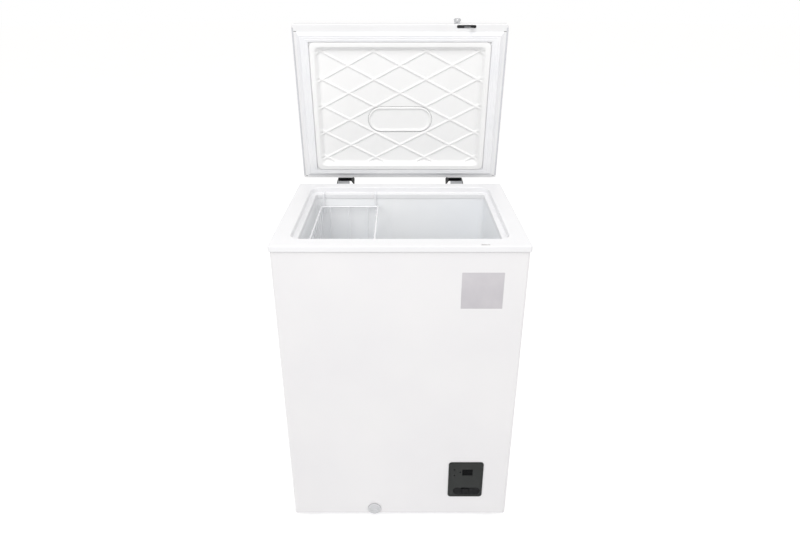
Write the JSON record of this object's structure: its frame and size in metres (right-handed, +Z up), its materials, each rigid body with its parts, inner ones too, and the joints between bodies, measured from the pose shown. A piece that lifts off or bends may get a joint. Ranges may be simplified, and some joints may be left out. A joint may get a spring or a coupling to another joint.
{
  "type": "chest freezer",
  "caption": "Upright-proportioned small chest freezer with its lid open: foamed steel cabinet, metal tub, ribbed lid liner, wire basket, lid lock and digital control panel.",
  "frame": {"origin": "on the floor under the middle of the whole outline, with the lid open", "axes": "+Z up, +X to the viewer's right when facing the front, +Y from the front towards the hinges"},
  "size_m": [0.5714, 0.5577, 1.2434],
  "materials": {
    "cabinet_paint": "satin",
    "lid_paint": "satin",
    "galvanised": "satin",
    "bracket_zinc": "satin",
    "arm_black": "satin",
    "foam": "matte",
    "tub_coat": "satin",
    "rim_plastic": "satin",
    "liner_plastic": "satin",
    "seal_rubber": "matte",
    "black_rubber": "matte",
    "copper": "satin",
    "compressor_paint": "satin",
    "starter_plastic": "matte",
    "screw_zinc": "satin",
    "pin_steel": "polished",
    "spring_steel": "satin",
    "nylon": "matte",
    "panel_grey": "satin",
    "window_black": "polished",
    "lamp_lens": "gloss",
    "button_black": "gloss",
    "board_green": "satin",
    "housing_plastic": "matte",
    "drain_plastic": "satin",
    "cap_plastic": "satin",
    "lock_plastic": "satin",
    "lock_chrome": "polished",
    "basket_wire": "gloss"
  },
  "bodies": {
    "cabinet": {"outer_shell": "cabinet_paint", "back_panel": "galvanised", "base_pan": "galvanised", "insulation_foam": "foam", "tub_liner": "tub_coat", "rim_frame": "rim_plastic", "bay_partition": "galvanised", "compressor_tray": "galvanised", "feet": "black_rubber", "foot_screws": "screw_zinc", "evaporator_coil": "copper", "condenser_coil": "copper", "compressor": "compressor_paint", "compressor_grommets": "black_rubber", "compressor_bolts": "screw_zinc", "starter_box": "starter_plastic", "filter_drier": "copper", "suction_line": "copper", "discharge_line": "copper", "liquid_line": "copper", "probe_tube": "copper", "rear_cover": "galvanised", "rear_cover_screws": "screw_zinc", "cord_gland": "black_rubber", "control_bezel": "panel_grey", "display_window": "window_black", "indicator_lamps": "lamp_lens", "control_board": "board_green", "control_housing": "housing_plastic", "drain_tube": "drain_plastic", "hinge_bracket_left": "bracket_zinc", "hinge_bracket_right": "bracket_zinc", "hinge_backing_plates": "galvanised", "bracket_screws": "screw_zinc", "hinge_pins": "pin_steel", "hinge_bushings": "nylon", "hinge_springs": "spring_steel"},
    "lid": {"lid_skin": "lid_paint", "lid_foam": "foam", "lid_liner": "liner_plastic", "lid_seal": "seal_rubber", "hinge_arm_left": "arm_black", "hinge_arm_right": "arm_black", "arm_backing_plates": "galvanised", "arm_screws": "screw_zinc", "lock_housing": "lock_plastic"},
    "lock_key": {"lock_barrel": "lock_chrome", "key": "lock_chrome"},
    "lock_slide": {"lock_hook": "lock_chrome"},
    "minus_button": {"minus_button": "button_black"},
    "set_button": {"set_button": "button_black"},
    "plus_button": {"plus_button": "button_black"},
    "basket": {"basket": "basket_wire"},
    "drain_plug": {"drain_plug": "cap_plastic"},
    "drain_cap": {"drain_cap": "cap_plastic"}
  },
  "joints": [
    {"name": "lid_hinge", "type": "hinge", "parent": "cabinet", "child": "lid", "pos_m": [0, 0.19155, 0.7604], "axis": [-1, 0, 0], "range_deg": [-84.2, 0]},
    {"name": "key_turn", "type": "hinge", "parent": "lid", "child": "lock_key", "pos_m": [0.1505, 0.21076, 1.23035], "axis": [0, -0.1011, 0.9949], "range_deg": [0, 90]},
    {"name": "lock_slide", "type": "slide", "parent": "lid", "child": "lock_slide", "axis": [-1, 0, 0], "range_m": [0, 0.007]},
    {"name": "minus_press", "type": "slide", "parent": "cabinet", "child": "minus_button", "axis": [0, 1, 0], "range_m": [0, 0.0012], "stiffness_N_per_m": 400},
    {"name": "set_press", "type": "slide", "parent": "cabinet", "child": "set_button", "axis": [0, 1, 0], "range_m": [0, 0.0012], "stiffness_N_per_m": 400},
    {"name": "plus_press", "type": "slide", "parent": "cabinet", "child": "plus_button", "axis": [0, 1, 0], "range_m": [0, 0.0012], "stiffness_N_per_m": 400},
    {"name": "basket_slide", "type": "slide", "parent": "cabinet", "child": "basket", "axis": [1, 0, 0], "range_m": [0, 0.275]},
    {"name": "drain_plug_pull", "type": "slide", "parent": "cabinet", "child": "drain_plug", "axis": [0, 0, 1], "range_m": [0, 0.08]},
    {"name": "drain_cap_pull", "type": "slide", "parent": "cabinet", "child": "drain_cap", "axis": [0, -1, 0], "range_m": [0, 0.06]}
  ],
  "couplings": [
    {"joint": "lock_slide", "follows": "key_turn", "m_per_rad": 0.004456}
  ]
}
